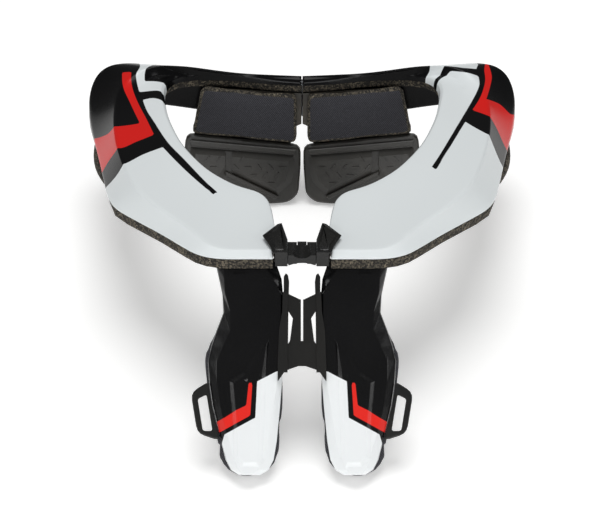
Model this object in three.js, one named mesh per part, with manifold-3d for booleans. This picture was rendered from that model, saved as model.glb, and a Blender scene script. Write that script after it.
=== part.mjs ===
// A motocross neck brace: a two-part collar hinged behind the neck and latched in front, with chest
// struts, a flexible web between them, strap loops, rear pads and scapula wings. Millimetres, +Z up.
// Collar pieces are drawn in the collar's plane: x to the wearer's left, a to the rear, n up from the plane.
import * as THREE from "three";
import { mergeVertices } from "three/addons/utils/BufferGeometryUtils.js";
import Module from "manifold-3d";

const wasm = await Module();
wasm.setup();

// Collar
const collarHalfWidth = 157; // centre line to the widest edge
const collarLength = 225; // front edge to rear crest
const collarRise = 20; // the unit of the heights in the section table
const collarTilt = 22; // degrees, rear up, as worn
const shellWall = 2.2;
const lipRadius = 6; // roll of the neck edge
const dishSag = 1.2; // hollow of the top face
const dishSpan = 30; // a narrower face is hollowed less
const edgeRound = 2.5;
const halfGap = 0.4; // from the centre plane to each half
const fitGap = 0.4; // between pieces that touch
const foamFloor = 18; // depth of the foam's flat underside below the collar's plane
const foamShow = 6.4; // of the foam's height, below the front and the corners of the shell
const foamTuck = 1.6; // how far the foam stands back under the sides of the shell
const rearFoamHeight = 6;
const rearFoamDepth = 4.2;
const shoulderPadHeight = 9;
const shoulderPadWidth = 34;
const shoulderPadBulge = 4.5;
const shoulderPadRound = 2.7;

// Chest struts, drawn in their own plane: x outward from the centre line, z down from the collar
const strutLean = 18; // degrees from upright, lower end forward
const strutLength = 136;
const strutHalfSpan = 62; // centre line to the outer edge at the widest
const strutTopY = collarLength * -0.36;
const strutTopZ = -57.5;
const strutWall = 2.4;
const strutRise = 7; // front face above the pad
const facetWidth = 2.5; // most of the outer facet's lean
const panelRise = 1.4;
const panelSlope = 2.6; // run of the panel's sides
const chestPadDepth = 7;
const loopDepth = 4;
const loopBar = 3.8;
const loopInnerBar = 2.4;
const loopRound = 5;
const loopChamfer = 0.8;
const slotWidth = 6.2;
const slotRound = 1.5;
const slotLength = 24;
const windowWidth = 8;
const windowHeight = 4.4;
const windowDepth = 1.6;
const bridgeDepth = 4;
const bridgeFlange = 1.8;
const bridgeRail = 2.6;
const bridgeSlit = 1.4;

// Latch
const latchDepth = 10.5;
const latchPlateDepth = 2;
const latchChamfer = 0.6;
const latchFront = 17; // forward of the latch's centre
const latchBack = 10; // and behind it
const latchEar = 9.6; // how far each plate laps over its shell
const latchFlare = 4; // the plates part towards the neck
const latchBulge = 2.2; // out to the slanting end of the shell
const shelfBack = 2.5; // behind the latch's centre
const shelfDrop = 6;
const sliderWidth = 18;
const sliderLength = 13;
const sliderDepth = 4.4;
const sliderLip = 2; // the lock's front wall, down over the shelves
const sliderArch = 2; // hollow of its lower edge
const tongueWidth = 6;
const tongueDepth = 4;

// Rear
const rearLean = 7.5; // degrees from upright, lower end rearward
const rearPlateY = collarLength * 0.5067; // front face of the plates, where padTop is measured from
const rearPlateWall = 3;
const rearPadDepth = 8.5;
const rearPadHeight = 38;
const rearPadWidth = 79;
const rearPadRound = 4;
const rearPadChamfer = 2;
const padGap = 3.4; // from the centre plane to each pad
const padTop = 35; // level with the foot of the rear foam
const beamTop = 17; // of the beam that joins a plate to the collar, below the collar's plane
const beamFoot = 27;
const beamReach = 7.5;
const wingDrop = 1.4; // from the foot of the pad
const wingInset = 1; // from the centre plane
const wingHeight = 46;
const wingWidth = 88;
const wingDepth = 6;
const wingRound = 6;
const wingChamfer = 1.5;
const wingRelief = 2.4;
const wingSlope = 4.5; // run of the sides of the raised face
const wingReliefChamfer = 0.5;
const hingeBarrel = 4.4; // radius
const hingePin = 2; // radius
const hingePinClearance = 0.3;
const pinHead = 1; // how far the pin stands out at each end
const hingeLeafWall = 2.4;
const hingeLeafWidth = 24;
const hingeHeight = 27;
const hingeTop = -8; // from the collar's plane

const rad = THREE.MathUtils.degToRad;
const v3 = (x, y, z) => new THREE.Vector3(x, y, z);

// Rows with a name for each column.
function tableOf(names, rows) {
  const columns = names.split(" ");
  return rows.map((row) => Object.fromEntries(columns.map((name, i) => [name, row[i]])));
}

// Sections round one half of the collar, from the latch to the hinge: neck edge i, crease c and outer edge e.
// x is a share of collarHalfWidth, a of collarLength and n of collarRise, as skirt and lip are.
const collarSections = tableOf("ix ia iN cx ca cN ex ea eN skirt lip", [
  [0.113, -0.345, -0.15, 0.128, -0.449, -0.3, 0.121, -0.467, -0.48, 0.06, 0.25],
  [0.122, -0.272, -0.1, 0.19, -0.449, -0.3, 0.19, -0.467, -0.48, 0.06, 0.35],
  [0.139, -0.202, -0.05, 0.255, -0.449, -0.3, 0.255, -0.467, -0.48, 0.06, 0.4],
  [0.185, -0.158, 0.02, 0.335, -0.449, -0.28, 0.345, -0.466, -0.48, 0.06, 0.45],
  [0.27, -0.138, 0.08, 0.395, -0.43, -0.22, 0.43, -0.445, -0.5, 0.06, 0.5],
  [0.363, -0.089, 0.15, 0.452, -0.382, -0.15, 0.503, -0.393, -0.55, 0.06, 0.5],
  [0.427, -0.04, 0.2, 0.529, -0.32, -0.1, 0.599, -0.311, -0.65, 0.06, 0.5],
  [0.484, 0.022, 0.25, 0.637, -0.249, 0, 0.732, -0.213, -0.75, 0.06, 0.5],
  [0.535, 0.089, 0.3, 0.726, -0.156, 0.1, 0.834, -0.133, -0.78, 0.06, 0.5],
  [0.573, 0.164, 0.35, 0.783, -0.04, 0.15, 0.877, 0, -0.85, 0.06, 0.5],
  [0.605, 0.24, 0.4, 0.822, 0.067, 0.2, 0.915, 0.133, -0.9, 0.06, 0.5],
  [0.624, 0.32, 0.43, 0.847, 0.178, 0.23, 0.955, 0.267, -0.9, 0.12, 0.5],
  [0.637, 0.391, 0.45, 0.854, 0.302, 0.3, 0.994, 0.382, -0.5, 0.5, 0.45],
  [0.624, 0.458, 0.4, 0.828, 0.409, 0.55, 0.99, 0.485, 0.12, 1.2, 0.35],
  [0.561, 0.498, 0.3, 0.732, 0.475, 0.78, 0.905, 0.54, 0.6, 1.55, 0.22],
  [0.433, 0.507, 0.25, 0.561, 0.502, 0.72, 0.701, 0.55, 0.48, 1.6, 0.18],
  [0.293, 0.505, 0.2, 0.35, 0.505, 0.42, 0.44, 0.55, 0.15, 1.6, 0.16],
  [0.146, 0.495, 0.12, 0.166, 0.508, 0.3, 0.2, 0.55, 0, 1.85, 0.16],
  [0, 0.489, 0.1, 0, 0.507, 0.25, 0, 0.55, -0.05, 1.9, 0.16],
]);
const lastSection = collarSections.length - 1;

// Outline rows of a chest strut and its pad: down in strutLengths, the rest in strutHalfSpans.
const strutRows = tableOf("down edge crease fold inner", [
  [-0.06, 0.92, 0.84, 0.43, 0.29],
  [0, 0.91, 0.83, 0.39, 0.26],
  [0.06, 0.88, 0.82, 0.31, 0.215],
  [0.135, 0.845, 0.81, 0.225, 0.2],
  [0.22, 0.835, 0.757, 0.225, 0.2],
  [0.31, 0.91, 0.757, 0.225, 0.2],
  [0.385, 0.965, 0.832, 0.225, 0.2],
  [0.456, 1, 0.897, 0.23, 0.2],
  [0.55, 0.985, 0.897, 0.26, 0.21],
  [0.67, 0.945, 0.855, 0.3, 0.23],
  [0.84, 0.855, 0.765, 0.355, 0.266],
  [0.927, 0.805, 0.71, 0.42, 0.298],
  [0.975, 0.75, 0.67, 0.47, 0.35],
  [1, 0.665, 0.62, 0.52, 0.44],
]);
const chestPadRows = tableOf("down edge inner", [
  [0.31, 0.93, 0.2],
  [0.385, 1.005, 0.19],
  [0.43, 1.045, 0.185],
  [0.5, 1.037, 0.18],
  [0.67, 0.985, 0.18],
  [0.84, 0.927, 0.215],
  [0.93, 0.885, 0.255],
  [0.98, 0.8, 0.34],
  [1.012, 0.655, 0.54],
]);

// Corners of a rear pad and of a wing: across in widths from the centre line, down in heights.
const rearPadCorners = tableOf("across down", [
  [0, 0],
  [0.9, -0.17],
  [1, 0.8],
  [0, 1],
]);
const wingCorners = tableOf("across down", [
  [0, 0],
  [0.97, -0.2],
  [1, 0.3],
  [0.8, 0.95],
  [0.25, 1],
  [0.1, 0.97],
  [0.02, 0.83],
  [0, 0.35],
]);

// The named row of a table at a fractional place, smooth through the rows.
function rowAt(table, place) {
  const last = table.length - 1;
  const low = Math.min(Math.floor(place), last - 1);
  const t = place - low;
  const pick = (i) => table[Math.max(0, Math.min(last, i))];
  const row = {};
  for (const key of Object.keys(table[0])) {
    const [p0, p1, p2, p3] = [pick(low - 1)[key], pick(low)[key], pick(low + 1)[key], pick(low + 2)[key]];
    const square = 2 * p0 - 5 * p1 + 4 * p2 - p3;
    const cube = 3 * p1 - p0 - 3 * p2 + p3;
    row[key] = 0.5 * (2 * p1 + (p2 - p0) * t + square * t * t + cube * t ** 3);
  }
  return row;
}

// Rails of the collar at a place, with the outward directions of the neck edge and the outer edge.
function railsAt(place) {
  const pointOf = (row, key) =>
    v3(row[key + "x"] * collarHalfWidth, row[key + "a"] * collarLength, row[key + "N"] * collarRise);
  const row = rowAt(collarSections, place);
  const step = 0.2;
  const before = rowAt(collarSections, Math.max(0, place - step));
  const after = rowAt(collarSections, Math.min(lastSection, place + step));
  const outward = (key) => {
    const along = pointOf(after, key).sub(pointOf(before, key));
    return v3(along.y, -along.x, 0).normalize();
  };
  return {
    inner: pointOf(row, "i"),
    crease: pointOf(row, "c"),
    edge: pointOf(row, "e"),
    innerOut: outward("i"),
    edgeOut: outward("e"),
    skirt: row.skirt * collarRise,
    lip: row.lip * collarRise,
  };
}

// The shell's outer profile at a place, from the bottom of the neck lip to the bottom of the skirt.
function shellProfile(place) {
  const r = railsAt(place);
  const up = v3(0, 0, 1);
  const span = r.crease.clone().sub(r.inner);
  const roll = Math.min(lipRadius, span.length() * 0.45, r.lip * 0.8);
  const topStart = r.inner.clone().addScaledVector(span.clone().normalize(), roll);
  const bend = (from, control, to, t) => {
    const between = from.clone().multiplyScalar((1 - t) ** 2).addScaledVector(control, 2 * t * (1 - t));
    return between.addScaledVector(to, t * t);
  };
  const lipTop = r.inner.clone().addScaledVector(up, -roll);
  const lipFoot = r.inner.clone().addScaledVector(up, -r.lip);
  const sag = dishSag * Math.min(1, span.length() / dishSpan);
  const middle = topStart.clone().lerp(r.crease, 0.5).addScaledVector(up, -sag);
  const bevel = r.edge.clone().sub(r.crease);
  const round = Math.min(edgeRound, bevel.length() * 0.3);
  const edgeStart = r.edge.clone().addScaledVector(bevel.clone().normalize(), -round);
  const skirtFoot = r.edge.clone().addScaledVector(up, -r.skirt);
  const skirtTop = r.edge.clone().lerp(skirtFoot, Math.min(0.4, round / r.skirt));
  return [
    lipFoot,
    lipTop,
    bend(lipTop, r.inner, topStart, 0.35),
    bend(lipTop, r.inner, topStart, 0.7),
    topStart,
    middle,
    r.crease,
    r.crease.clone().lerp(edgeStart, 0.55),
    edgeStart,
    bend(edgeStart, r.edge, skirtTop, 0.5),
    skirtTop,
    skirtTop.clone().lerp(skirtFoot, 0.5),
    skirtFoot,
  ];
}

// The same grid moved along its own normals; a positive distance goes inwards.
function offsetGrid(grid, distance) {
  const last = grid.length - 1;
  const end = grid[0].length - 1;
  return grid.map((line, i) =>
    line.map((point, j) => {
      const along = grid[Math.min(last, i + 1)][j].clone().sub(grid[Math.max(0, i - 1)][j]);
      const across = line[Math.min(end, j + 1)].clone().sub(line[Math.max(0, j - 1)]);
      const normal = along.cross(across).normalize();
      return point.clone().addScaledVector(normal, distance);
    }),
  );
}

// One closed surface over two matching grids, one above and one below.
function closedGrid(above, below) {
  const rows = above.length;
  const columns = above[0].length;
  const points = [];
  const faces = [];
  for (const p of [...above.flat(), ...below.flat()]) points.push(p.x, p.y, p.z);
  const at = (layer, i, j) => layer * rows * columns + i * columns + j;
  const quad = (a, b, c, d) => faces.push(a, b, c, a, c, d);
  for (let i = 0; i < rows - 1; i++)
    for (let j = 0; j < columns - 1; j++) {
      quad(at(0, i, j), at(0, i, j + 1), at(0, i + 1, j + 1), at(0, i + 1, j));
      quad(at(1, i, j), at(1, i + 1, j), at(1, i + 1, j + 1), at(1, i, j + 1));
    }
  for (let i = 0; i < rows - 1; i++) {
    quad(at(0, i, 0), at(0, i + 1, 0), at(1, i + 1, 0), at(1, i, 0));
    quad(at(0, i, columns - 1), at(1, i, columns - 1), at(1, i + 1, columns - 1), at(0, i + 1, columns - 1));
  }
  for (let j = 0; j < columns - 1; j++) {
    quad(at(0, 0, j), at(1, 0, j), at(1, 0, j + 1), at(0, 0, j + 1));
    quad(at(0, rows - 1, j), at(0, rows - 1, j + 1), at(1, rows - 1, j + 1), at(1, rows - 1, j));
  }
  return facingOut(geometryOf(points, faces));
}

// A closed tube of sections, each a ring of the same number of points, with flat ends.
function closedRings(rings) {
  const count = rings[0].length;
  const points = rings.flat().flatMap((p) => [p.x, p.y, p.z]);
  const faces = [];
  for (let i = 0; i < rings.length - 1; i++)
    for (let j = 0; j < count; j++) {
      const k = (j + 1) % count;
      faces.push(i * count + j, (i + 1) * count + j, (i + 1) * count + k);
      faces.push(i * count + j, (i + 1) * count + k, i * count + k);
    }
  const capOf = (ring, offset, flip) => {
    const flat = flatten(ring);
    for (const [a, b, c] of THREE.ShapeUtils.triangulateShape(flat, []))
      faces.push(...(flip ? [offset + a, offset + c, offset + b] : [offset + a, offset + b, offset + c]));
  };
  capOf(rings[0], 0, false);
  capOf(rings[rings.length - 1], (rings.length - 1) * count, true);
  return facingOut(geometryOf(points, faces));
}

// A ring of points laid out flat in its own plane.
function flatten(ring) {
  const centre = ring.reduce((sum, p) => sum.add(p), v3(0, 0, 0)).divideScalar(ring.length);
  const normal = v3(0, 0, 0);
  ring.forEach((p, i) => {
    const q = ring[(i + 1) % ring.length];
    normal.add(p.clone().sub(centre).cross(q.clone().sub(centre)));
  });
  normal.normalize();
  const u = ring[0].clone().sub(centre).normalize();
  const w = normal.clone().cross(u);
  return ring.map((p) => {
    const d = p.clone().sub(centre);
    return new THREE.Vector2(d.dot(u), d.dot(w));
  });
}

function geometryOf(points, faces) {
  const geometry = new THREE.BufferGeometry();
  geometry.setAttribute("position", new THREE.Float32BufferAttribute(points, 3));
  geometry.setIndex(faces);
  return geometry;
}

function facingOut(geometry) {
  const p = geometry.getAttribute("position");
  const index = geometry.index.array;
  const corner = (i) => v3().fromBufferAttribute(p, index[i]);
  let volume = 0;
  for (let i = 0; i < index.length; i += 3) volume += corner(i).dot(corner(i + 1).cross(corner(i + 2)));
  if (volume > 0) return geometry;
  for (let i = 0; i < index.length; i += 3) [index[i], index[i + 1]] = [index[i + 1], index[i]];
  return geometry;
}

function solidOf(geometry) {
  const bare = geometry.clone();
  bare.deleteAttribute("normal");
  bare.deleteAttribute("uv");
  const merged = mergeVertices(bare, 1e-3);
  const mesh = new wasm.Mesh({
    numProp: 3,
    vertProperties: merged.getAttribute("position").array,
    triVerts: new Uint32Array(merged.index.array),
  });
  return new wasm.Manifold(mesh);
}

function geometryFrom(solid) {
  const mesh = solid.getMesh();
  return geometryOf(Array.from(mesh.vertProperties), Array.from(mesh.triVerts));
}

const joined = (...geometries) => geometryFrom(geometries.map(solidOf).reduce((a, b) => a.add(b)));
const cut = (geometry, ...tools) =>
  geometryFrom(tools.map(solidOf).reduce((a, b) => a.subtract(b), solidOf(geometry)));

// A flat outline of [x, y] corners, extruded from z = 0 up to depth, with an optional chamfer of a given run.
function slab(corners, depth, chamfer = 0, run = chamfer) {
  const shape = new THREE.Shape(corners.map(([x, y]) => new THREE.Vector2(x, y)));
  const geometry = new THREE.ExtrudeGeometry(shape, {
    depth: depth - 2 * chamfer,
    bevelEnabled: chamfer > 0,
    bevelThickness: chamfer,
    bevelSize: run,
    bevelOffset: -run,
    bevelSegments: 1,
    curveSegments: 6,
  });
  return geometry.translate(0, 0, chamfer);
}

// Outline corners rounded by arcs of one radius.
function rounded(corners, radius, steps = 3) {
  const out = [];
  corners.forEach((corner, i) => {
    const here = new THREE.Vector2(...corner);
    const before = new THREE.Vector2(...corners[(i + corners.length - 1) % corners.length]);
    const after = new THREE.Vector2(...corners[(i + 1) % corners.length]);
    const back = before.sub(here);
    const forth = after.sub(here);
    const reach = Math.min(radius, back.length() * 0.45, forth.length() * 0.45);
    const from = here.clone().add(back.setLength(reach));
    const to = here.clone().add(forth.setLength(reach));
    for (let k = 0; k <= steps; k++) {
      const t = k / steps;
      const x = (1 - t) ** 2 * from.x + 2 * t * (1 - t) * here.x + t * t * to.x;
      const y = (1 - t) ** 2 * from.y + 2 * t * (1 - t) * here.y + t * t * to.y;
      out.push([x, y]);
    }
  });
  return out;
}

const placesFrom = (start, end, count) =>
  Array.from({ length: count + 1 }, (_, i) => start + ((end - start) * i) / count);

// Collar shell and foam
const shellSteps = 30;
const shellGrid = placesFrom(0, lastSection, shellSteps).map(shellProfile);

// Every piece of a half starts a little off the centre plane.
const offCentre = (point) => v3(Math.max(point.x, halfGap), point.y, point.z);

// The inside of the shell at a distance, with the feet of the lip and the skirt level with the outside's.
function insideAt(distance) {
  const grid = offsetGrid(shellGrid, distance);
  grid.forEach((line, i) => {
    for (const j of [0, line.length - 1]) line[j].z = shellGrid[i][j].z;
  });
  return grid;
}

const halfOf = (grid) => grid.map((line) => line.map(offCentre));
const collarShell = () => closedGrid(halfOf(shellGrid), halfOf(insideAt(shellWall)));

// The foam under the front and side of the shell: flush with its outer edge, tucked inside it above.
const foamEnd = 12;
const insideGrid = insideAt(shellWall + fitGap);
const placeOf = (i) => (i / shellSteps) * lastSection;

function floorAt(place) {
  const r = railsAt(place);
  const show = foamShow * (1 - THREE.MathUtils.smoothstep(place, 7.4, 9.2));
  return Math.min(-foamFloor, r.edge.z - r.skirt - fitGap - Math.max(show, 2 * fitGap));
}

function collarFoam() {
  const above = [];
  const below = [];
  shellGrid.forEach((line, i) => {
    const place = placeOf(i);
    if (place > foamEnd) return;
    const skirtFoot = line[line.length - 1];
    const r = railsAt(place);
    const tuck = foamTuck * THREE.MathUtils.smoothstep(place, 7, 9);
    const edge = skirtFoot.clone().addScaledVector(r.edgeOut, -tuck).add(v3(0, 0, -fitGap));
    const top = insideGrid[i].slice(1).map((p) => p.clone());
    top[top.length - 1].z = edge.z;
    above.push([...top, edge]);
    below.push([...top, edge].map((p) => v3(p.x, p.y, floorAt(place))));
  });
  return closedGrid(above, below);
}

// The foam band under the rear neck edge.
const rearFoamStart = 12.4;
function rearFoam() {
  const rings = [];
  shellGrid.forEach((line, i) => {
    if (placeOf(i) < rearFoamStart) return;
    const r = railsAt(placeOf(i));
    const top = line[0].z - fitGap;
    const inner = line[0].clone().addScaledVector(r.innerOut, shellWall);
    const back = inner.clone().addScaledVector(r.innerOut, rearFoamDepth);
    const at = (p, z) => offCentre(v3(p.x, p.y, z));
    const foot = top - rearFoamHeight;
    rings.push([at(inner, top), at(back, top), at(back, foot), at(inner, foot)]);
  });
  return closedRings(rings);
}

// Height of the foot of the rear foam at the centre plane, as worn.
function rearFoamFoot() {
  const r = railsAt(lastSection);
  const foot = r.inner.z - r.lip - fitGap - rearFoamHeight;
  return (r.inner.y + shellWall) * Math.sin(rad(collarTilt)) + foot * Math.cos(rad(collarTilt));
}

// The small pad under the widest part of the foam, between two places on the collar.
const shoulderPadStart = 9.5;
const shoulderPadEnd = 11.2;
const shoulderPadSkew = 0.7; // its inner end lies under a later section of the foam
const shoulderPadSteps = 7;
function shoulderPad() {
  const rings = placesFrom(shoulderPadStart, shoulderPadEnd, shoulderPadSteps).map((place) => {
    const r = railsAt(place);
    const share = (place - shoulderPadStart) / (shoulderPadEnd - shoulderPadStart);
    const bulge = shoulderPadBulge * Math.sin(Math.PI * (0.08 + 0.84 * share));
    const width = shoulderPadWidth * (0.45 + 0.55 * Math.sin(Math.PI * share));
    const outer = r.edge.clone().addScaledVector(r.edgeOut, bulge - foamTuck);
    const inner = outer.clone().addScaledVector(r.edgeOut, -width);
    const top = floorAt(place + shoulderPadSkew) - fitGap;
    const foot = top - shoulderPadHeight;
    return [
      v3(inner.x, inner.y, top),
      v3(outer.x - shoulderPadRound, outer.y, top),
      v3(outer.x, outer.y, top - shoulderPadRound),
      v3(outer.x, outer.y, foot + shoulderPadRound),
      v3(outer.x - shoulderPadRound, outer.y, foot),
      v3(inner.x, inner.y, foot + shoulderPadRound),
    ];
  });
  return closedRings(rings);
}

// A flat outline drawn upright, x across and z up, standing depth forward (towards -y) from y = 0.
const upright = (corners, depth, ...chamfer) => slab(corners, depth, ...chamfer).rotateX(Math.PI / 2);
const block = (x0, x1, y0, y1, z0, z1) =>
  new THREE.BoxGeometry(x1 - x0, y1 - y0, z1 - z0).translate((x0 + x1) / 2, (y0 + y1) / 2, (z0 + z1) / 2);
const strutPoint = (across, down) => [across * strutHalfSpan, -down * strutLength];
const strutSpot = (down, key) => {
  const i = Math.max(1, strutRows.findIndex((row) => row.down >= down));
  const [low, high] = [strutRows[i - 1], strutRows[i]];
  return THREE.MathUtils.mapLinear(down, low.down, high.down, low[key], high[key]) * strutHalfSpan;
};

// The space below the foam, in the frame of the struts, that keeps them clear of the collar.
const bigSize = strutLength * 4;
function belowFoam() {
  const space = block(-bigSize, bigSize, -bigSize, bigSize, -bigSize, -foamFloor - fitGap);
  collar.updateMatrix();
  struts.updateMatrix();
  return space.applyMatrix4(collar.matrix).applyMatrix4(struts.matrix.clone().invert());
}

const windowDown = 0.022;
const windowAcross = 0.66;
const panelCorners = tableOf("across down", [
  [0.715, 0.92],
  [0.722, 0.77],
  [0.765, 0.553],
  [0.613, 0.506],
  [0.468, 0.4],
  [0.345, 0.35],
  [0.38, 0.52],
  [0.415, 0.935],
  [0.455, 0.96],
  [0.63, 0.96],
]);
function chestStrut() {
  const grid = strutRows.map((row) => {
    const z = -row.down * strutLength;
    const at = (share, rise) => v3(share * strutHalfSpan, -rise, z);
    const lean = Math.min((row.edge - row.crease) * 0.15, (facetWidth * 0.3) / strutHalfSpan);
    return [
      at(row.edge, 0),
      at(row.edge - lean, strutRise * 0.45),
      at(row.crease, strutRise),
      at((row.crease + row.fold) / 2, strutRise),
      at(row.fold, strutRise),
      at(row.inner, strutRise * 0.55),
      at(row.inner, 0),
    ];
  });
  const tray = closedGrid(grid, grid.map((line, i) => line.map((p, j) => hollowPoint(grid, i, j))));
  const panelOutline = panelCorners.map((corner) => strutPoint(corner.across, corner.down));
  const panel = upright(panelOutline, panelRise * 2, panelRise * 0.95, panelSlope);
  panel.translate(0, panelRise - strutRise, 0);
  const [halfWidth, halfHeight] = [windowWidth / 2, windowHeight / 2];
  const hole = block(-halfWidth, halfWidth, -strutRise * 2, windowDepth - strutRise, -halfHeight, halfHeight);
  hole.translate(windowAcross * strutHalfSpan, 0, -windowDown * strutLength);
  const body = solidOf(tray).add(solidOf(panel)).subtract(solidOf(hole)).intersect(solidOf(belowFoam()));
  return geometryFrom(body);
}

// The inside of the strut's tray: the same outline a wall's thickness in and back.
function hollowPoint(grid, i, j) {
  const line = grid[i];
  const middle = (line[0].x + line[line.length - 1].x) / 2;
  const share = (line[j].x - middle) / Math.abs(line[0].x - middle);
  const back = -line[j].y / strutRise;
  const z = line[j].z + (i === grid.length - 1 ? strutWall : 0);
  const inward = strutWall * Math.sign(share) * Math.min(1, Math.abs(share) * 1.6);
  return v3(line[j].x - inward, line[j].y + strutWall * back, z);
}

function chestPad() {
  const outer = chestPadRows.map((row) => strutPoint(row.edge, row.down));
  const inner = chestPadRows.map((row) => strutPoint(row.inner, row.down)).reverse();
  const pad = upright([...outer, ...inner], chestPadDepth, chestPadDepth * 0.2);
  return pad.translate(0, chestPadDepth + fitGap, 0);
}

const loopDown = 0.7;
const loopTurn = 9.5; // degrees
function strapLoop() {
  const half = slotLength / 2;
  const outer = loopInnerBar + slotWidth + loopBar;
  const corners = [
    [-loopInnerBar, half + loopBar * 2.4],
    [outer, half + loopBar * 0.8],
    [outer, -half],
    [-loopInnerBar, -half - loopBar * 2],
  ];
  const slotCorners = [
    [loopInnerBar, half],
    [loopInnerBar + slotWidth, half * 0.85],
    [loopInnerBar + slotWidth, -half * 0.9],
    [loopInnerBar, -half],
  ];
  const slot = upright(rounded(slotCorners, slotRound), loopDepth * 3).translate(0, loopDepth, 0);
  const ring = cut(upright(rounded(corners, loopRound), loopDepth, loopChamfer), slot).rotateY(rad(loopTurn));
  ring.translate(strutSpot(loopDown, "edge") + fitGap, 0, -loopDown * strutLength);
  const grown = strutRows.map((row) => [row.edge * strutHalfSpan + fitGap, -row.down * strutLength]);
  return cut(ring, upright([...grown, [0, -strutLength], [0, 0]], loopDepth * 3).translate(0, loopDepth, 0));
}

// The web between the struts, with a rail and a flange that clip round the inner edge of each.
// across is a share of half the web's width, down of strutLength.
const bridgeHalf = strutRows[4].inner * strutHalfSpan - fitGap;
const slitTop = 0.16;
const slitFoot = 0.36;
const webCorners = tableOf("across down", [
  [0.1, 0.16],
  [0.72, 0.134],
  [0.7, 0.075],
  [0.76, 0.043],
  [0.88, 0.033],
  [1, 0.05],
  [1, 0.51],
  [0.85, 0.5],
  [0.2, 0.48],
]);
const webHoleCorners = tableOf("across down", [
  [0.74, 0.217],
  [0.5, 0.25],
  [0.66, 0.36],
  [0.76, 0.373],
]);
const railTop = 0.13;
const railFoot = 0.51;
const flangeCorners = tableOf("across down", [
  [0.8, 0.12],
  [1.04, 0.125],
  [1.08, 0.22],
  [1.25, 0.31],
  [1.32, 0.48],
  [1.32, 0.555],
  [0.8, 0.49],
]);
function chestBridge() {
  const down = (share) => -share * strutLength;
  const front = strutRise + fitGap + bridgeFlange;
  const spots = (table, side) =>
    table.map((corner) => [side * corner.across * bridgeHalf, down(corner.down)]);
  const web = upright([...spots(webCorners, 1), ...spots(webCorners, -1).reverse()], bridgeDepth);
  web.translate(0, bridgeDepth + bridgeFlange - front, 0);
  const slitHalf = bridgeSlit / 2;
  const tools = [block(-slitHalf, slitHalf, -front * 2, front, down(slitFoot), down(slitTop * 0.8))];
  const pieces = [];
  for (const side of [1, -1]) {
    tools.push(upright(spots(webHoleCorners, side), front * 4).translate(0, front * 2, 0));
    const [near, far] = [side * bridgeHalf, side * (bridgeHalf - bridgeRail)].sort((p, q) => p - q);
    pieces.push(block(near, far, -front, bridgeFlange * 3.4 - front, down(railFoot), down(railTop)));
    pieces.push(upright(spots(flangeCorners, side), bridgeFlange).translate(0, bridgeFlange - front, 0));
  }
  return cut(joined(web, ...pieces), ...tools);
}

// Latch, drawn in the plane of the collar's front: a base at the end of each half, the lock between them
const latchTilt = 6.7; // degrees, front down
const latchA = collarLength * -0.4;
const latchN = -3.6;
const throatX = collarSections[0].ix * collarHalfWidth - fitGap - shellWall / 2;
const shelfX = sliderWidth / 2 + fitGap;
const tongueX = tongueWidth / 2 + fitGap;
const sliderBack = sliderLength - latchFront;
function latchBase() {
  const plate = [
    [shelfX, sliderBack],
    [shelfX + latchFlare, latchBack * 1.3],
    [throatX, latchBack * 1.2],
    [throatX + latchEar, latchBack * 0.05],
    [throatX + latchEar * 0.46, latchFront * -0.65],
    [throatX + latchEar * 0.31, -latchFront],
    [shelfX, -latchFront],
  ];
  const core = [
    [shelfX, sliderBack],
    [shelfX + latchFlare * 0.8, latchBack],
    [throatX, latchBack],
    [throatX + latchBulge, latchFront * -0.65],
    [throatX + latchBulge * 0.6, -latchFront],
    [shelfX, -latchFront],
  ];
  const body = slab(core, latchDepth + latchPlateDepth / 2);
  body.translate(0, 0, -latchDepth);
  const shelfFront = sliderLip + fitGap - latchFront;
  const shelf = block(tongueX, throatX, shelfFront, shelfBack, -latchDepth, -shelfDrop);
  return joined(body, slab(plate, latchPlateDepth, latchChamfer), shelf);
}

// The lock: a head on the two shelves, a tongue between them and a lip in front, with a hollow for the thumb.
function lockSlider() {
  const half = sliderWidth / 2;
  const under = fitGap - shelfDrop;
  const foot = under - tongueDepth;
  const head = block(-half, half, -latchFront, sliderBack, under, under + sliderDepth);
  const tongueHalf = tongueWidth / 2;
  const tongue = block(-tongueHalf, tongueHalf, -latchFront, sliderBack - sliderLip, foot, under + sliderLip);
  const tail = block(-tongueHalf, tongueHalf, -latchFront, shelfBack, foot, under);
  const lip = block(-half, half, -latchFront, sliderLip - latchFront, foot, under + sliderLip);
  const scoop = new THREE.CylinderGeometry(half * 0.8, half * 0.8, latchFront * 4, 20, 1);
  scoop.translate(0, 0, under + sliderDepth + half * 0.5);
  const arch = new THREE.CylinderGeometry(sliderWidth, sliderWidth, latchFront * 4, 40, 1);
  arch.translate(0, 0, foot - sliderWidth + sliderArch);
  return cut(joined(head, tongue, tail, lip), scoop, arch);
}

// Rear pieces, drawn in the plane of the plates' front face: x across, z up from the collar's centre
const plateCorners = tableOf("across up", [
  [0, 0.98],
  [0.9, 1.09],
  [1.02, 0.2],
  [0.93, -0.9],
  [0.2, -1],
  [0.1, -0.6],
  [0.1, 0.2],
  [0, 0.3],
]);
function rearPlate() {
  const corners = plateCorners.map(({ across, up }) => [halfGap + across * rearPadWidth, up * padTop]);
  const plate = upright(corners, rearPlateWall).translate(0, rearPlateWall, 0);
  const wallA = collarSections[lastSection].ea * collarLength - shellWall - fitGap;
  const beamStart = halfGap + rearPadWidth * 0.06;
  const beam = block(beamStart, rearPadWidth * 0.7, wallA - beamReach, wallA, -beamFoot, -beamTop);
  collar.updateMatrix();
  rear.updateMatrix();
  beam.applyMatrix4(collar.matrix).applyMatrix4(rear.matrix.clone().invert());
  const front = block(0, rearPadWidth * 2, -rearPadWidth, rearPlateWall / 2, -rearPadWidth, rearPadWidth);
  return joined(plate, cut(beam, front));
}

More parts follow.
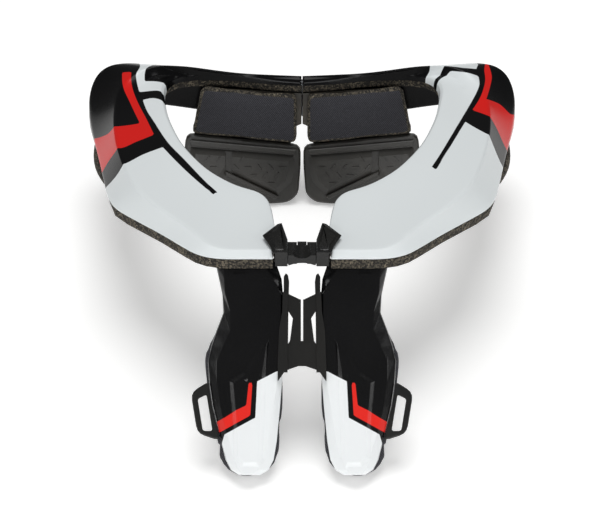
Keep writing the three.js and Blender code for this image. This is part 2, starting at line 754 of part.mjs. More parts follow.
function rearPad() {
  const corners = rearPadCorners.map(({ across, down }) => [
    padGap + across * rearPadWidth,
    padTop - down * rearPadHeight,
  ]);
  return upright(rounded(corners, rearPadRound), rearPadDepth, rearPadChamfer).translate(0, -fitGap, 0);
}

// A rim, a face with sloping sides and a ridge at its foot stand up from the wing; each is [across, down].
const wingTop = padTop - rearPadHeight - wingDrop;
const wingRim = [[0.04, 0.06], [0.93, -0.1], [0.93, -0.01], [0.05, 0.14]];
const wingFaceTop = [[0.045, 0.36], [0.06, 0.165], [0.93, 0.02], [0.96, 0.3]];
const wingFace = [...wingFaceTop, [0.86, 0.62], [0.68, 0.62], [0.62, 0.44], [0.2, 0.84], [0.08, 0.62]];
const wingGroove = [[0.58, 0.1], [0.64, 0.09], [0.64, 0.7], [0.58, 0.7]];
const wingRidge = [[0.64, 0.42], [0.64, 0.5], [0.22, 0.9], [0.19, 0.85]];
function scapulaWing() {
  const spot = ([across, down]) => [wingInset + across * wingWidth, wingTop - down * wingHeight];
  const outline = rounded(wingCorners.map((corner) => spot([corner.across, corner.down])), wingRound);
  const raised = (corners, ...chamfer) =>
    upright(corners.map(spot), wingRelief * 2, ...chamfer).translate(0, wingRelief - wingDepth, 0);
  const groove = upright(wingGroove.map(spot), wingRelief * 2).translate(0, -wingDepth, 0);
  const face = cut(raised(wingFace, wingRelief * 0.95, wingSlope), groove);
  const trims = [raised(wingRim, wingReliefChamfer), raised(wingRidge, wingReliefChamfer)];
  return joined(upright(outline, wingDepth, wingChamfer), face, ...trims).translate(0, -fitGap, 0);
}

// Hinge behind the neck, upright on the collar's plane: knuckles in three equal lengths
const backA = collarSections[lastSection].ea * collarLength + fitGap;
const hingeA = backA + hingeBarrel + fitGap;
const barrelSides = 20;
function barrel(radius, top, height) {
  const upended = new THREE.CylinderGeometry(radius, radius, height, barrelSides).rotateX(Math.PI / 2);
  return upended.translate(0, hingeA, top - height / 2);
}
function pinBarrel(radius) {
  return barrel(radius, hingeTop + pinHead, hingeHeight + 2 * pinHead);
}
function hingeLeaf(knuckles) {
  const third = hingeHeight / 3;
  const armX = hingeBarrel + fitGap;
  const plate = block(armX, hingeLeafWidth, backA, backA + hingeLeafWall, hingeTop - hingeHeight, hingeTop);
  const pieces = knuckles.flatMap((k) => {
    const top = hingeTop - k * third - fitGap / 2;
    const height = third - fitGap;
    const arm = block(0, armX + hingeLeafWall, backA, backA + hingeLeafWall, top - height, top);
    return [barrel(hingeBarrel, top, height), arm];
  });
  return cut(joined(plate, ...pieces), pinBarrel(hingePin + hingePinClearance));
}

const colours = {
  paint: { color: 0xe4e8e9, roughness: 0.22, metalness: 0 },
  strut: { color: 0x1c1c1e, roughness: 0.35, metalness: 0 },
  foam: { color: 0x2c2a28, roughness: 0.95, metalness: 0 },
  cover: { color: 0x26262a, roughness: 0.9, metalness: 0 },
  rubber: { color: 0x3a3936, roughness: 0.6, metalness: 0 },
  plastic: { color: 0x1b1b19, roughness: 0.45, metalness: 0 },
  metal: { color: 0x8c8f92, roughness: 0.35, metalness: 1 },
};

const worn = new THREE.Group();
worn.name = "worn";
const collar = new THREE.Group();
collar.rotation.x = rad(collarTilt);
const struts = new THREE.Group();
struts.position.set(0, strutTopY, strutTopZ);
struts.rotation.x = rad(-strutLean);
const latch = new THREE.Group();
latch.position.set(0, latchA, latchN);
latch.rotation.x = rad(latchTilt);
collar.add(latch);
const rear = new THREE.Group();
rear.position.set(0, rearPlateY, rearFoamFoot() - padTop);
rear.rotation.x = rad(rearLean);
worn.add(collar, struts, rear);

const materialOf = (look) => new THREE.MeshStandardMaterial(colours[look]);

// Adds a piece of the wearer's left half, and its mirror image on the right.
function addPair(parent, name, geometry, look) {
  for (const side of [1, -1]) {
    const mesh = new THREE.Mesh(geometry, materialOf(look));
    mesh.name = name + (side > 0 ? "_left" : "_right");
    mesh.scale.x = side;
    parent.add(mesh);
  }
}

function addOne(parent, name, geometry, look, side = 1) {
  const mesh = new THREE.Mesh(geometry, materialOf(look));
  mesh.name = name;
  mesh.scale.x = side;
  parent.add(mesh);
}

addPair(collar, "collar_shell", collarShell(), "paint");
addPair(collar, "collar_foam", collarFoam(), "foam");
addPair(collar, "rear_foam", rearFoam(), "foam");
addPair(collar, "shoulder_pad", shoulderPad(), "foam");
addPair(struts, "chest_strut", chestStrut(), "strut");
addPair(struts, "chest_pad", chestPad(), "cover");
addPair(struts, "strap_loop", strapLoop(), "plastic");
addOne(struts, "chest_bridge", chestBridge(), "plastic");
addPair(latch, "latch_base", latchBase(), "plastic");
addOne(latch, "lock_slider", lockSlider(), "plastic");
addPair(rear, "rear_plate", rearPlate(), "plastic");
addPair(rear, "rear_pad", rearPad(), "cover");
addPair(rear, "scapula_wing", scapulaWing(), "rubber");
addOne(collar, "hinge_leaf_left", hingeLeaf([0, 2]), "metal");
addOne(collar, "hinge_leaf_right", hingeLeaf([1]), "metal", -1);
addOne(collar, "hinge_pin", pinBarrel(hingePin), "metal");

// The brace rests on the tips of the chest pads and the feet of the wings: it turns until both touch down.
function lowest(angle, front) {
  worn.rotation.x = angle;
  worn.updateMatrixWorld(true);
  let low = Infinity;
  const p = v3();
  worn.traverse((o) => {
    if (!o.isMesh) return;
    const position = o.geometry.getAttribute("position");
    for (let i = 0; i < position.count; i++) {
      p.fromBufferAttribute(position, i).applyMatrix4(o.matrixWorld);
      if (p.y < 0 === front) low = Math.min(low, p.z);
    }
  });
  return low;
}
const halvings = 30;
let [least, most] = [rad(-60), rad(0)];
for (let i = 0; i < halvings; i++) {
  const angle = (least + most) / 2;
  if (lowest(angle, true) > lowest(angle, false)) least = angle;
  else most = angle;
}
worn.rotation.x = least;
worn.updateMatrixWorld(true);
const bounds = new THREE.Box3().setFromObject(worn, true);
worn.position.set(0, -(bounds.min.y + bounds.max.y) / 2, -bounds.min.z);

const part = new THREE.Group();
part.add(worn);
export default part;
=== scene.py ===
import math

import bmesh
import bpy
import numpy as np
from mathutils import Matrix, Vector


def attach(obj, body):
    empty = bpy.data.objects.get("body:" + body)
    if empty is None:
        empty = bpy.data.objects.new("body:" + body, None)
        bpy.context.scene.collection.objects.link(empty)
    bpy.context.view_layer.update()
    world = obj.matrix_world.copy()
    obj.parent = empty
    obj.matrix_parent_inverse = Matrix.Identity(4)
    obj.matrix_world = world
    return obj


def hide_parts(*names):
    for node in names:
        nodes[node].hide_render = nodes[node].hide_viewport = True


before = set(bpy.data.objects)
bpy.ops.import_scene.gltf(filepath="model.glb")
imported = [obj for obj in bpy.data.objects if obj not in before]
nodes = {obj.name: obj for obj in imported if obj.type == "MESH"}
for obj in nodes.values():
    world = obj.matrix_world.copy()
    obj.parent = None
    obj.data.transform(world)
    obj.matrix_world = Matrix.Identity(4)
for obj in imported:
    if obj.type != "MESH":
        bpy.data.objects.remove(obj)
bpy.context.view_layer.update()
scene = bpy.context.scene
sides = {"left": 1, "right": -1}  # the wearer's left is on +X
perMetre = 1000  # millimetres

# How the faceted solids are taken over: weld in metres, flat and smoothBelow in degrees
takeOver = {"weld": 1e-5, "flat": 1.5, "mostSplits": 8, "smoothBelow": 40}

# Every group of pieces has its own leaning plane: the brace as worn, then collar, struts, rear and latch in it
leans = {
    "worn": {"back": 0.03762, "up": 0.10354, "turn": -30.705},
    "collar": {"back": 0, "up": 0, "turn": 22},
    "struts": {"back": -0.081, "up": -0.0575, "turn": -18},
    "rear": {"back": 0.114, "up": 0, "turn": 7.5},
    "latch": {"back": -0.09, "up": -0.0036, "turn": 6.7},
}


def leaning(name, parent=None):
    lean = leans[name]
    turned = Matrix.Translation((0, lean["back"], lean["up"])) @ Matrix.Rotation(math.radians(lean["turn"]), 4, "X")
    return turned if parent is None else parent @ turned


wornPlane = leaning("worn")
collarPlane = leaning("collar", wornPlane)
strutPlane = leaning("struts", wornPlane)
rearPlane = leaning("rear", wornPlane)
latchPlane = leaning("latch", collarPlane)
print("planes set")


def copiedMesh(node):
    mesh = bmesh.new()
    mesh.from_mesh(nodes[node].data)
    bmesh.ops.remove_doubles(mesh, verts=mesh.verts, dist=takeOver["weld"])
    return mesh


def easeEdges(mesh, width, sharp=25, segments=2):
    # round the edges that turn by more than sharp, in degrees, to a width in metres
    flat = math.radians(takeOver["flat"])
    bmesh.ops.dissolve_limit(mesh, angle_limit=flat, verts=mesh.verts, edges=mesh.edges)
    edges = [e for e in mesh.edges if e.is_manifold and e.calc_face_angle(0) > math.radians(sharp)]
    bmesh.ops.bevel(mesh, geom=edges, offset=width, offset_type="OFFSET", segments=segments, profile=0.5,
                    affect="EDGES", material=-1, clamp_overlap=True)


def splitLongEdges(mesh, longest):
    bmesh.ops.triangulate(mesh, faces=mesh.faces)
    for _ in range(takeOver["mostSplits"]):
        tooLong = [e for e in mesh.edges if e.calc_length() > longest]
        if not tooLong:
            break
        bmesh.ops.subdivide_edges(mesh, edges=tooLong, cuts=1)
        bmesh.ops.triangulate(mesh, faces=[f for f in mesh.faces if len(f.verts) > 3])


def newPiece(mesh, name, material):
    data = bpy.data.meshes.new(name)
    mesh.to_mesh(data)
    mesh.free()
    data.materials.clear()
    data.materials.append(material)
    for face in data.polygons:
        face.use_smooth = True
        face.material_index = 0
    piece = bpy.data.objects.new(name, data)
    scene.collection.objects.link(piece)
    return piece


def flattenFaces(piece):
    # large faces keep their own normal, so that only the eased edges look round
    piece.data.set_sharp_from_angle(angle=math.radians(takeOver["smoothBelow"]))
    weighted = piece.modifiers.new("weighted", "WEIGHTED_NORMAL")
    weighted.keep_sharp = True
    return piece


def applyModifiers(piece):
    graph = bpy.context.evaluated_depsgraph_get()
    made = bpy.data.meshes.new_from_object(piece.evaluated_get(graph))
    piece.modifiers.clear()
    piece.data = made


def mount(piece, body, slot, *cadNodes):
    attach(piece, body)
    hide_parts(*cadNodes)


def inPlane(piece, plane):
    # the piece's points in a leaning plane, in millimetres
    points = np.zeros(len(piece.data.vertices) * 3)
    piece.data.vertices.foreach_get("co", points)
    turn = np.array(plane.inverted())
    return (points.reshape(-1, 3) @ turn[:3, :3].T + turn[:3, 3]) * perMetre


def insideBy(points, corners):
    # how far each point lies inside an outline, in millimetres, and less than nothing outside it
    inside = np.zeros(len(points), bool)
    nearest = np.full(len(points), np.inf)
    x, y = points[:, 0], points[:, 1]
    for (ax, ay), (bx, by) in zip(corners, corners[1:] + corners[:1]):
        dx, dy = bx - ax, by - ay
        if dx == dy == 0:
            continue
        along = np.clip(((x - ax) * dx + (y - ay) * dy) / (dx * dx + dy * dy), 0, 1)
        nearest = np.minimum(nearest, np.hypot(x - ax - along * dx, y - ay - along * dy))
        if ay != by:
            crossed = (ay > y) != (by > y)
            inside ^= crossed & (x < ax + (y - ay) / (by - ay) * dx)
    return np.where(inside, nearest, -nearest)


def curved(points, steps=5):
    # a smooth run through the points, as a list of corners
    run = []
    for i in range(len(points) - 1):
        before, here, there, after = (points[max(0, min(len(points) - 1, k))] for k in (i - 1, i, i + 1, i + 2))
        for step in range(steps):
            t = step / steps
            run.append(tuple(0.5 * (2 * b + (c - a) * t + (2 * a - 5 * b + 4 * c - d) * t * t
                                    + (3 * b - a - 3 * c + d) * t ** 3)
                             for a, b, c, d in zip(before, here, there, after)))
    return run + [tuple(points[-1])]


def keepField(piece, name, values):
    # one number for each point, which the materials read to draw a printed or a covered area
    field = piece.data.attributes.new(name, "FLOAT", "POINT")
    field.data.foreach_set("value", values.astype(np.float32))


def shade(hexColour):
    # an sRGB colour as the linear one that the materials take
    parts = [int(hexColour[i:i + 2], 16) / 255 for i in (1, 3, 5)]
    return [p / 12.92 if p <= 0.04045 else ((p + 0.055) / 1.055) ** 2.4 for p in parts] + [1]


def addNode(tree, kind, inputs=None, **settings):
    # each input is either a socket to link or a value to set
    node = tree.nodes.new("ShaderNode" + kind)
    for key, value in settings.items():
        setattr(node, key, value)
    for key, value in (inputs or {}).items():
        if isinstance(value, bpy.types.NodeSocket):
            tree.links.new(value, node.inputs[key])
        else:
            node.inputs[key].default_value = value
    return node


def fieldEdge(tree, field, soft):
    # 0 outside a charted area and 1 inside it, with an edge that is soft over so many millimetres each way
    mask = addNode(tree, "Attribute", attribute_name=field)
    edge = addNode(tree, "MapRange", {"Value": mask.outputs["Fac"], "From Min": -soft, "From Max": soft})
    return edge.outputs["Result"]


def printOver(tree, base, inks):
    # in a colour mix, sockets 6 and 7 take the lower and the upper colour, and output 2 gives the result
    for field, colour in inks.items():
        mixed = addNode(tree, "Mix", {"Factor": fieldEdge(tree, field, printEdge), 6: base, 7: shade(colour)},
                        data_type="RGBA")
        base = mixed.outputs[2]
    return base


def startMaterial(name):
    material = bpy.data.materials.new(name)
    material.use_nodes = True
    tree = material.node_tree
    tree.nodes.clear()
    place = addNode(tree, "TexCoord").outputs["Object"]
    return material, tree, place


def endMaterial(tree, surface):
    addNode(tree, "OutputMaterial", {"Surface": surface.outputs[0]})


# How soft the edge of the print and of the pads' cover is, in millimetres, and the inks laid over the black
printEdge = 0.12
coverEdge = 0.25
shellInks = {"white_field": "#DCE1E2", "red_field": "#D2201C"}
strutInks = {"white_field": "#E6E9EA", "red_field": "#DE2A22"}
twill = {"slant": 38, "ribs": 270, "threads": 1800}


def paintedShell():
    # Moulded nylon shell with a glossy printed film: even colour, clear gloss, a faint ripple
    material, tree, place = startMaterial("glossy_moulded_film")
    ripple = addNode(tree, "TexNoise", {"Vector": place, "Scale": 35, "Detail": 1})
    dust = addNode(tree, "TexNoise", {"Vector": place, "Scale": 500, "Detail": 4, "Roughness": 0.6})
    base = printOver(tree, shade("#0B0B0C"), shellInks)
    rough = addNode(tree, "MapRange", {"Value": dust.outputs["Fac"], "From Min": 0.3, "From Max": 0.75,
                                       "To Min": 0.17, "To Max": 0.24})
    bump = addNode(tree, "Bump", {"Height": ripple.outputs["Fac"], "Strength": 0.03, "Distance": 0.001})
    surface = addNode(tree, "BsdfPrincipled", {"Base Color": base, "Roughness": rough.outputs["Result"],
                                               "Normal": bump.outputs["Normal"], "IOR": 1.5,
                                               "Specular IOR Level": 0.12,
                                               "Coat Weight": 0.03, "Coat Roughness": 0.05})
    endMaterial(tree, surface)
    return material


def foamSurface(tree, place):
    # pale grains of regrind, thinned out in patches, over open cells
    grains = addNode(tree, "TexVoronoi", {"Vector": place, "Scale": 950})
    patches = addNode(tree, "TexNoise", {"Vector": place, "Scale": 140, "Detail": 4})
    fleck = addNode(tree, "ValToRGB", {"Fac": grains.outputs["Color"]})
    fleck.color_ramp.elements[0].color = shade("#1E1C18")
    fleck.color_ramp.elements[1].color = shade("#857B69")
    fleck.color_ramp.elements[0].position = 0.4
    tone = addNode(tree, "MapRange", {"Value": patches.outputs["Fac"], "From Min": 0.3, "From Max": 0.7,
                                      "To Min": 0.05, "To Max": 0.6})
    mixed = addNode(tree, "Mix", {"Factor": tone.outputs["Result"], 6: fleck.outputs["Color"],
                                  7: shade("#1C1A17")}, data_type="RGBA")
    cells = addNode(tree, "Bump", {"Height": grains.outputs["Distance"], "Strength": 0.6, "Distance": 0.0006})
    return addNode(tree, "BsdfPrincipled", {"Base Color": mixed.outputs[2], "Roughness": 0.85,
                                            "Normal": cells.outputs["Normal"], "IOR": 1.45})


def speckledFoam():
    # Closed-cell EVA foam cut from block: dark, matt, with pale grains of regrind
    material, tree, place = startMaterial("speckled_eva_foam")
    endMaterial(tree, foamSurface(tree, place))
    return material


def twillCover(name, turn, foamEdges=False):
    # Brushed polyester twill over foam, on a face that leans by turn: fine diagonal ribs. The real ones are finer:
    # these are drawn about 1.2 mm apart, as coarse as they need to be to show
    material, tree, place = startMaterial(name)
    turned = addNode(tree, "Mapping", {"Vector": place, "Rotation": (-math.radians(turn), 0, 0)})
    slanted = addNode(tree, "Mapping", {"Vector": turned.outputs["Vector"],
                                        "Rotation": (0, math.radians(twill["slant"]), 0)})
    ribs = addNode(tree, "TexWave", {"Vector": slanted.outputs["Vector"], "Scale": twill["ribs"],
                                     "Distortion": 0.8, "Detail": 2, "Detail Scale": 30}, bands_direction="X")
    threads = addNode(tree, "TexNoise", {"Vector": place, "Scale": twill["threads"], "Detail": 3})
    height = addNode(tree, "Math", {0: ribs.outputs["Fac"], 1: threads.outputs["Fac"]}, operation="ADD")
    tone = addNode(tree, "MapRange", {"Value": height.outputs["Value"], "From Min": 0.3, "From Max": 1.7})
    colour = addNode(tree, "ValToRGB", {"Fac": tone.outputs["Result"]})
    colour.color_ramp.elements[0].color = shade("#0E0E10")
    colour.color_ramp.elements[1].color = shade("#48484E")
    bump = addNode(tree, "Bump", {"Height": height.outputs["Value"], "Strength": 0.5, "Distance": 0.0005})
    surface = addNode(tree, "BsdfPrincipled", {"Base Color": colour.outputs["Color"], "Roughness": 0.85,
                                               "Normal": bump.outputs["Normal"], "Sheen Weight": 0.08,
                                               "Sheen Roughness": 0.4, "Specular IOR Level": 0.3})
    if foamEdges:  # the cover is laid on the front alone, and the cut foam shows round it
        surface = addNode(tree, "MixShader", {0: fieldEdge(tree, "cover_field", coverEdge),
                                              1: foamSurface(tree, place).outputs[0], 2: surface.outputs[0]})
    endMaterial(tree, surface)
    return material


def mouldedPlastic(name, colour, worn, roughness, grain, inks=None):
    # Moulded plastic: spark-eroded grain, a little paler where it is handled
    material, tree, place = startMaterial(name)
    texture = addNode(tree, "TexNoise", {"Vector": place, "Scale": grain, "Detail": 5, "Roughness": 0.6})
    cloud = addNode(tree, "TexNoise", {"Vector": place, "Scale": 25, "Detail": 3})
    tone = addNode(tree, "MapRange", {"Value": cloud.outputs["Fac"], "From Min": 0.35, "From Max": 0.75})
    mixed = addNode(tree, "Mix", {"Factor": tone.outputs["Result"], 6: shade(colour), 7: shade(worn)},
                    data_type="RGBA")
    base = printOver(tree, mixed.outputs[2], inks or {})
    rough = addNode(tree, "MapRange", {"Value": texture.outputs["Fac"], "From Min": 0.3, "From Max": 0.7,
                                       "To Min": roughness - 0.05, "To Max": roughness + 0.08})
    bump = addNode(tree, "Bump", {"Height": texture.outputs["Fac"], "Strength": 0.15, "Distance": 0.0004})
    surface = addNode(tree, "BsdfPrincipled", {"Base Color": base, "Roughness": rough.outputs["Result"],
                                               "Normal": bump.outputs["Normal"], "IOR": 1.5,
                                               "Specular IOR Level": 0.4})
    endMaterial(tree, surface)
    return material


def brushedSteel():
    # Stainless steel, brushed along the pin
    material, tree, place = startMaterial("brushed_steel")
    stretched = addNode(tree, "Mapping", {"Vector": place, "Scale": (1, 1, 0.05)})
    lines = addNode(tree, "TexNoise", {"Vector": stretched.outputs["Vector"], "Scale": 2500, "Detail": 3})
    rough = addNode(tree, "MapRange", {"Value": lines.outputs["Fac"], "To Min": 0.22, "To Max": 0.45})
    surface = addNode(tree, "BsdfPrincipled", {"Base Color": shade("#9A9C9F"), "Metallic": 1,
                                               "Roughness": rough.outputs["Result"]})
    endMaterial(tree, surface)
    return material


shellPaint = paintedShell()
foamLook = speckledFoam()
padLook = twillCover("polyester_twill_on_foam", leans["worn"]["turn"] + leans["rear"]["turn"], foamEdges=True)
chestPadLook = twillCover("polyester_twill", leans["worn"]["turn"] + leans["struts"]["turn"])
strutLook = mouldedPlastic("glossy_nylon", "#0A0A0B", "#0F0F10", 0.2, 1500, inks=strutInks)
wingLook = mouldedPlastic("moulded_rubber", "#2A2926", "#3A3834", 0.42, 1100)
plateLook = mouldedPlastic("grained_tpu", "#37342F", "#5C564C", 0.5, 450)
tpuLook = mouldedPlastic("moulded_tpu", "#0F0F0E", "#191816", 0.38, 1300)
latchLook = mouldedPlastic("polished_nylon", "#10100F", "#191916", 0.22, 1300)
steelLook = brushedSteel()
print("materials made")

# Collar shells: angles in degrees, centre in metres. An edge runs round the collar when more than along of its run
# goes that way. The printed areas are charted in the collar's plane, in millimetres: x to the wearer's left, y back
shell = {"levels": 3, "creaseFrom": 14, "creaseTo": 45, "centre": 0.03, "joinFlat": 50, "joinShape": 60,
         "along": 0.6, "rim": 60}
printed = {
    "right": {
        "white": [
            [*curved([(-57, -41), (-67, -27), (-81, -4), (-94, 18), (-106, 47), (-111, 60), (-115, 75)]),
             *curved([(-114, 75), (-108, 76), (-102, 73), (-98, 68)]), (-90, 60), (-40, 20), (0, 0), (0, -130),
             (-130, -120), (-170, -60), *curved([(-150, 2), (-137, -7), (-124, -9), (-110, 4), (-97, 12)]),
             *curved([(-97, 12), (-87, -5), (-75, -23), (-60, -43)])],
            [*curved([(-122, 128), (-119, 112), (-121, 102), (-121, 98), (-118, 85)]),
             *curved([(-118, 85), (-105, 86), (-100, 82), (-94, 76)]), (-90, 92),
             *curved([(-97, 96), (-100, 98), (-106, 99), (-115, 99)]),
             *curved([(-115, 99), (-115, 104), (-113, 109), (-110, 114), (-108, 128)])],
        ],
        "red": [
            [*curved([(-132, 107), (-130, 89), (-124, 72), (-115, 44)]),
             *curved([(-115, 44), (-123, 42), (-135, 41), (-143, 50), (-151, 62)]), (-165, 60), (-160, 5),
             *curved([(-145, 14), (-136, 15), (-126, 12), (-116, 20), (-104, 28)]),
             *curved([(-104, 28), (-111, 50), (-119, 74), (-124, 92), (-125, 105)])],
        ],
    },
    "left": {
        "white": [
            [*curved([(129, 101), (129, 91), (126, 82), (120, 67), (108, 35), (96, 4), (89, -12)]),
             *curved([(92, -15), (104, 15), (116, 46)]),
             *curved([(116, 46), (124, 37), (132, 29), (141, 22), (150, 26)]),
             (170, 10), (170, -40), (130, -120), (0, -130), (0, 0), (40, 20), (90, 60), (94, 90),
             *curved([(97, 97), (101, 103), (105, 106), (109, 107)]), (119, 103)],
            [*curved([(88, 108), (96, 113), (103, 117), (110, 119), (119, 120)]), (124, 128), (118, 133), (126, 133),
             (130, 118), (128, 110), *curved([(118, 109), (108, 110), (104, 110), (99, 106), (92, 100)])],
        ],
        "red": [
            [*curved([(137, 128), (135, 118), (134, 110), (134, 100), (132, 88), (129, 78), (122, 62)]),
             *curved([(122, 62), (130, 57), (139, 50), (145, 46), (152, 48)]), (165, 50), (160, 90),
             *curved([(155, 84), (151, 80), (144, 80), (139, 78), (133, 75)]),
             *curved([(133, 75), (136, 88), (139, 103), (139, 110), (138, 120), (140, 128)])],
        ],
    },
}


def collarShell(side):
    mesh = copiedMesh("collar_shell_" + side)
    bmesh.ops.join_triangles(mesh, faces=mesh.faces, angle_face_threshold=math.radians(shell["joinFlat"]),
                             angle_shape_threshold=math.radians(shell["joinShape"]))
    creases = mesh.edges.layers.float.new("crease_edge")
    flat = collarPlane.inverted()
    for edge in mesh.edges:
        start, end = (flat @ v.co for v in edge.verts)
        middle, run = (start + end) / 2, (end - start).normalized()
        roundNeck = Vector((-(middle.y - shell["centre"]), middle.x, 0)).normalized()
        turn = math.degrees(edge.calc_face_angle(0))
        if abs(run.dot(roundNeck)) > shell["along"]:
            sharpness = (turn - shell["creaseFrom"]) / (shell["creaseTo"] - shell["creaseFrom"])
            edge[creases] = min(1, max(0, sharpness))
        elif turn > shell["rim"]:  # the rim of a flat end
            edge[creases] = 1
    piece = newPiece(mesh, "shell_" + side, shellPaint)
    smooth = piece.modifiers.new("smooth", "SUBSURF")
    smooth.levels = smooth.render_levels = shell["levels"]
    applyModifiers(piece)
    spots = inPlane(piece, collarPlane)[:, :2]
    for colour in ("white", "red"):
        reach = np.max([insideBy(spots, outline) for outline in printed[side][colour]], axis=0)
        keepField(piece, colour + "_field", reach)
    mount(piece, side + "_half", "collar_paint", "collar_shell_" + side)


for side in sides:
    collarShell(side)
print("collar shells printed")

# Foam under the shells: ease in metres, sharp in degrees, and how full each piece is
foam = {"ease": 0.0012, "sharp": 40, "fills": {"collar_foam": 1, "rear_foam": 1, "shoulder_pad": 0.9}}
for side in sides:
    for node, fill in foam["fills"].items():
        mesh = copiedMesh(f"{node}_{side}")
        easeEdges(mesh, foam["ease"], sharp=foam["sharp"])
        piece = newPiece(mesh, f"{node}_soft_{side}", foamLook)
        mount(piece, side + "_half", "foam", f"{node}_{side}")
print("foam cut")

# Chest struts: ease and longest edge in metres. Their paint is charted in their own plane, in millimetres: x
# outward, z down
strut = {"ease": 0.0007, "longest": 0.0022, "sharp": 18}
strutPrint = {
    "white": [[(10, 68), (16.6, 68.8), (29.2, 75.4), (30.3, 98.9), (50.4, 109.8), (60, 140), (10, 140)]],
    "red": [[(32.3, 76.3), (34.7, 76.3), (36.2, 90.9), (43, 94.2), (50, 98.7), (64, 106), (62, 112), (50.9, 107),
             (33.6, 97.5)]],
}
for side, across in sides.items():
    mesh = copiedMesh("chest_strut_" + side)
    easeEdges(mesh, strut["ease"], sharp=strut["sharp"])
    splitLongEdges(mesh, strut["longest"])
    piece = newPiece(mesh, "strut_" + side, strutLook)
    spots = inPlane(piece, strutPlane)[:, [0, 2]] * [across, -1]
    for colour, outlines in strutPrint.items():
        reach = np.max([insideBy(spots, outline) for outline in outlines], axis=0)
        keepField(piece, colour + "_field", reach)
    mount(piece, side + "_half", "strut_plastic", "chest_strut_" + side)
print("struts painted")

# Hard trim: loops, web, latch, rear plates, wings and hinge. A face counts as the top when its normal and the
# plane's agree by topFacing; the other values are in metres
trim = {"ease": 0.0004, "lineInset": 0.0014, "lineWidth": 0.0005, "lineDepth": -0.0006, "topFacing": 0.99}


def sinkLine(mesh, plane):
    # a fine sunk line inside the edge of the plate's flat top
    up = plane.to_3x3() @ Vector((0, 0, 1))
    top = max((f for f in mesh.faces if f.normal.dot(up) > trim["topFacing"]), key=lambda f: f.calc_area())
    bmesh.ops.inset_individual(mesh, faces=[top], thickness=trim["lineInset"], depth=0)
    bmesh.ops.inset_individual(mesh, faces=[top], thickness=trim["lineWidth"], depth=trim["lineDepth"])
    bmesh.ops.inset_individual(mesh, faces=[top], thickness=trim["lineWidth"], depth=0)
    bmesh.ops.inset_individual(mesh, faces=[top], thickness=trim["lineWidth"], depth=-trim["lineDepth"])


# Short raised bars on the wing's face, in the rear plane in millimetres: x outward, z up. They stand in staggered
# rows, clear of the groove; turnStep says how far each row and each column moves on through the turns, in degrees
bars = {"front": -8.9, "length": 5.2, "width": 1, "rise": 1.3, "startX": 6, "startZ": -8, "stepX": 8.6,
        "stepZ": 6.2, "stagger": 0.5, "rows": 8, "columns": 11, "margin": 5.5,
        "turns": (0, 52, -50, 8, -58, 60), "turnStep": (5, 2), "groove": (50, 59)}
wingFace = [(6.3, -12), (82.8, -5.3), (85.5, -18.2), (76.7, -32.9), (60.8, -32.9), (55.6, -24.6), (18.6, -43),
            (8, -32.9), (5, -21)]


def addBars(mesh, across):
    size = [bars[edge] / perMetre for edge in ("length", "rise", "width")]
    rowStep, columnStep = bars["turnStep"]
    for row in range(bars["rows"]):
        for column in range(bars["columns"]):
            x = bars["startX"] + (column + bars["stagger"] * (row % 2)) * bars["stepX"]
            z = bars["startZ"] - row * bars["stepZ"]
            room = insideBy(np.array([[x, z]]), wingFace)[0]
            if room < bars["margin"] or bars["groove"][0] < x < bars["groove"][1]:
                continue
            turn = bars["turns"][(row * rowStep + column * columnStep) % len(bars["turns"])]
            place = Matrix.Translation((across * x / perMetre, bars["front"] / perMetre, z / perMetre))
            spun = Matrix.Rotation(math.radians(across * turn), 4, "Y")
            bmesh.ops.create_cube(mesh, size=1, matrix=rearPlane @ place @ spun @ Matrix.Diagonal((*size, 1)))


for side, across in sides.items():
    for node, look, slot in (("strap_loop", tpuLook, "soft_plastic"), ("latch_base", latchLook, "soft_plastic"),
                             ("rear_plate", plateLook, "soft_plastic"), ("scapula_wing", wingLook, "wing_rubber"),
                             ("hinge_leaf", steelLook, "steel")):
        mesh = copiedMesh(f"{node}_{side}")
        easeEdges(mesh, trim["ease"])
        if node == "latch_base":
            sinkLine(mesh, latchPlane)
        if node == "scapula_wing":
            addBars(mesh, across)
        piece = flattenFaces(newPiece(mesh, f"{node}_eased_{side}", look))
        mount(piece, side + "_half", slot, f"{node}_{side}")
for node, body, look, slot in (("chest_bridge", "left_half", tpuLook, "soft_plastic"),
                               ("lock_slider", "lock", latchLook, "soft_plastic"),
                               ("hinge_pin", "left_half", steelLook, "steel")):
    mesh = copiedMesh(node)
    easeEdges(mesh, trim["ease"])
    mount(flattenFaces(newPiece(mesh, node + "_eased", look)), body, slot, node)
print("trim eased")

# Stuffed pads: voxel and reach, the furthest that the stuffing pushes a point, in metres; the cover's edge, charted
# in the rear plane with x outward and z up, in millimetres
pad = {"voxel": 0.003, "pressure": 4, "reach": 0.003, "frames": 20, "still": 1e-9, "coverInset": 2.6,
       "coverDepth": -5.5}
rearPadFace = [(3.4, 35), (74.5, 41.5), (82.4, 4.6), (3.4, -3)]


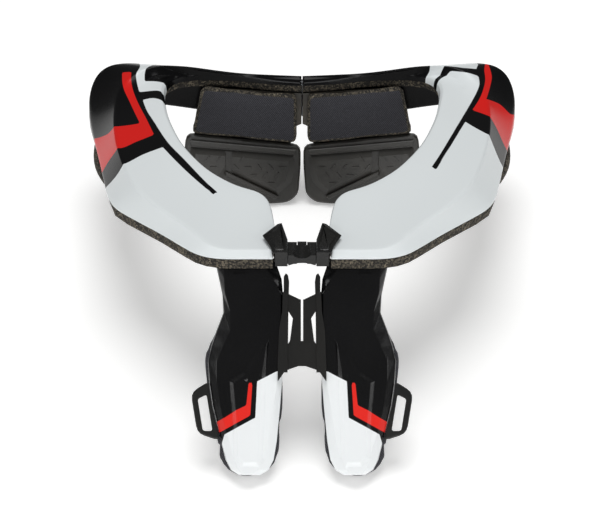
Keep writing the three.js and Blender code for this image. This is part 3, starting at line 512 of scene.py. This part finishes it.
def stuffedPad(node, name, look, plane):
    mesh = copiedMesh(node)
    bmesh.ops.recalc_face_normals(mesh, faces=mesh.faces)
    piece = newPiece(mesh, name, look)
    remesh = piece.modifiers.new("voxels", "REMESH")
    remesh.mode, remesh.voxel_size, remesh.use_smooth_shade = "VOXEL", pad["voxel"], True
    applyModifiers(piece)
    flat = inPlane(piece, plane) / perMetre
    cloth = piece.modifiers.new("stuffing", "CLOTH")
    cloth.settings.use_pressure = True
    cloth.settings.uniform_pressure_force = pad["pressure"]
    cloth.settings.effector_weights.gravity = 0
    for frameNumber in range(1, pad["frames"] + 1):
        scene.frame_set(frameNumber)
    applyModifiers(piece)
    scene.frame_set(1)
    full = inPlane(piece, plane) / perMetre
    moved = full - flat
    length = np.linalg.norm(moved, axis=1, keepdims=True)
    full = flat + moved * np.minimum(1, pad["reach"] / np.maximum(length, pad["still"]))
    full[:, 1] = np.minimum(full[:, 1], flat[:, 1].max())  # flat against what carries it
    turn = np.array(plane)
    piece.data.vertices.foreach_set("co", (full @ turn[:3, :3].T + turn[:3, 3]).ravel())
    smooth = piece.modifiers.new("smooth", "SUBSURF")
    smooth.levels = smooth.render_levels = 1
    return piece


for side, across in sides.items():
    for node, look, plane, fill in (("rear_pad", padLook, rearPlane, 0.7),
                                    ("chest_pad", chestPadLook, strutPlane, 0.8)):
        piece = stuffedPad(f"{node}_{side}", f"{node}_stuffed_{side}", look, plane)
        if node == "rear_pad":
            spots = inPlane(piece, plane)
            inside = insideBy(spots[:, [0, 2]] * [across, 1], rearPadFace) - pad["coverInset"]
            keepField(piece, "cover_field", np.minimum(inside, pad["coverDepth"] - spots[:, 1]))
        mount(piece, side + "_half", "cover", f"{node}_{side}")
print("pads stuffed")

# Floor, light and camera, in metres; each light has its place, its width and its power in watts
studio = {"floor": "#F4F4F3", "floorReach": 6, "glow": 0.34, "world": 0.15, "aim": (0, 0, 0.05)}
lights = {
    "top_light": ((0, 0.35, 1.5), 1.1, 15),
    "front_light": ((0, -1.5, 0.35), 0.9, 12),
    "left_light": ((-1.3, -0.55, 0.8), 0.6, 2.5),
    "right_light": ((1.3, -0.55, 0.8), 0.6, 2.5),
}
mesh = bmesh.new()
bmesh.ops.create_grid(mesh, x_segments=1, y_segments=1, size=studio["floorReach"])
floorLook, tree, place = startMaterial("pale_paper")
paper = addNode(tree, "TexNoise", {"Vector": place, "Scale": 40})
paperBump = addNode(tree, "Bump", {"Height": paper.outputs["Fac"], "Strength": 0.02, "Distance": 0.001})
endMaterial(tree, addNode(tree, "BsdfPrincipled", {"Base Color": shade(studio["floor"]), "Roughness": 0.9,
                                                   "Normal": paperBump.outputs["Normal"],
                                                   "Emission Color": (1, 1, 1, 1),
                                                   "Emission Strength": studio["glow"]}))
floor = newPiece(mesh, "floor", floorLook)

world = bpy.data.worlds.new("studio")
world.use_nodes = True
world.node_tree.nodes["Background"].inputs["Color"].default_value = (1, 1, 1, 1)
world.node_tree.nodes["Background"].inputs["Strength"].default_value = studio["world"]
scene.world = world

for name, (place, width, power) in lights.items():
    light = bpy.data.lights.new(name, "AREA")
    light.shape, light.size, light.energy = "DISK", width, power
    lamp = bpy.data.objects.new(name, light)
    lamp.location = place
    lamp.rotation_euler = (Vector(studio["aim"]) - Vector(place)).to_track_quat("-Z", "Y").to_euler()
    scene.collection.objects.link(lamp)
scene.view_settings.view_transform = "Standard"

view = {"place": (0, -1.028, 0.991), "down": 42.7, "lens": 120, "sensor": 36, "shift": -2 / 600}
camera = bpy.data.objects.new("camera", bpy.data.cameras.new("camera"))
camera.location = view["place"]
camera.rotation_euler = (math.radians(90 - view["down"]), 0, 0)
camera.data.lens, camera.data.sensor_width = view["lens"], view["sensor"]
camera.data.shift_x = view["shift"]
scene.collection.objects.link(camera)
scene.camera = camera
print("studio lit")
